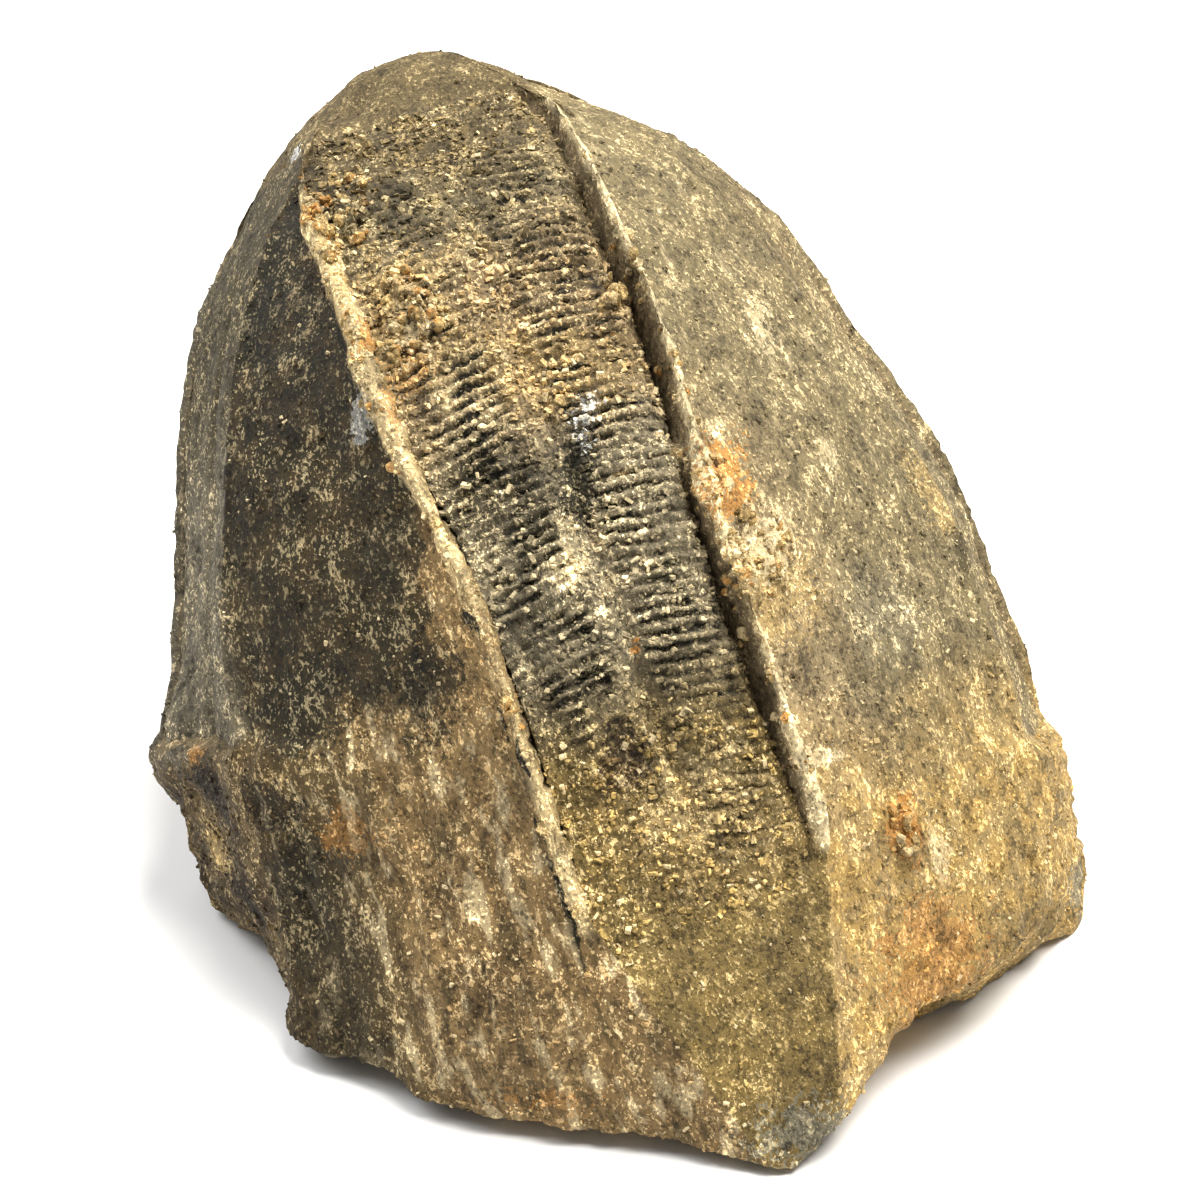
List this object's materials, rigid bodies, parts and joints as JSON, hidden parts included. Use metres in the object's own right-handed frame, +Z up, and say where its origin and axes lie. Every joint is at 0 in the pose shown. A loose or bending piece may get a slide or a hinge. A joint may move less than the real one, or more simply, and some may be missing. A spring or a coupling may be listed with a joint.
{
  "type": "blastoid theca fossil",
  "caption": "Bud-shaped fossil echinoderm with petal-like plated bands, leaning on its flat broken foot, with rock round its lower part.",
  "frame": {"origin": "middle of the bounding box, on the plane of the flat foot", "axes": "+Z up from the foot, -Y towards the front petal that faces the viewer, +X to the viewer's right"},
  "size_m": [0.0308, 0.0332, 0.0252],
  "materials": {
    "fossil_limestone": "matte, grainy weathered limestone and calcite"
  },
  "bodies": {
    "root": {"theca": "fossil_limestone"}
  },
  "joints": []
}
